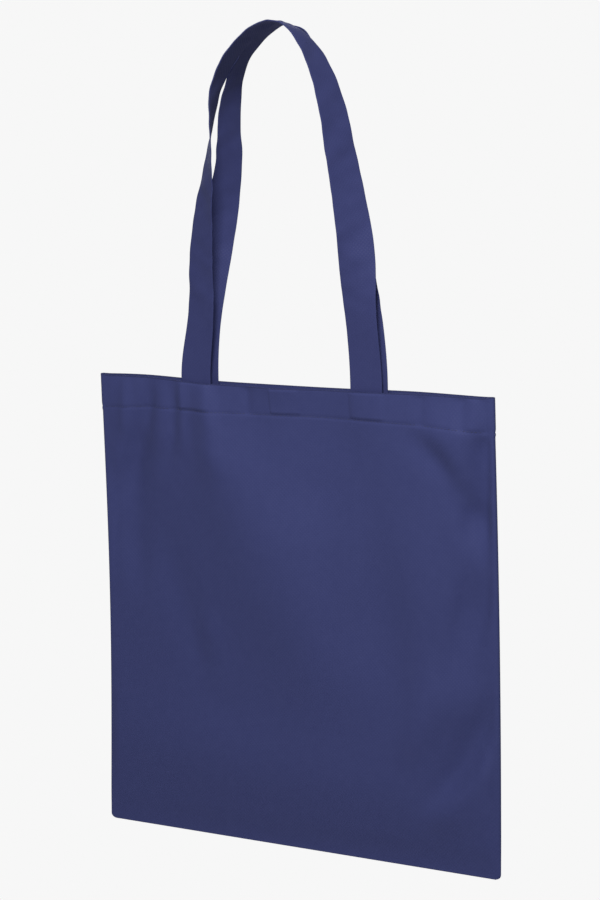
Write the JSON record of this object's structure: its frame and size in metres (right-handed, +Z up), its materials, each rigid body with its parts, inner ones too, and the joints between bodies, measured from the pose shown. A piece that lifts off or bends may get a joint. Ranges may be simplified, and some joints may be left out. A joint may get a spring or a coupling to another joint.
{
  "type": "non-woven tote bag",
  "caption": "Flat carrier tote of navy non-woven fabric with an inward hem and long strap handles that cross a hanging point.",
  "frame": {"origin": "the hanging point, level with the top of the handles, midway between them and over the middle of the mouth", "axes": "+Z up the bag as it hangs, +X across its width, -Y out of the front panel"},
  "size_m": [0.3804, 0.0625, 0.7004],
  "materials": {
    "bag_fabric": "matt spunbonded polypropylene with fine bond points",
    "handle_fabric": "matt spunbonded polypropylene, folded lengthways"
  },
  "bodies": {
    "root": {"bag_body": "bag_fabric", "front_handle": "handle_fabric", "back_handle": "handle_fabric"}
  },
  "joints": []
}
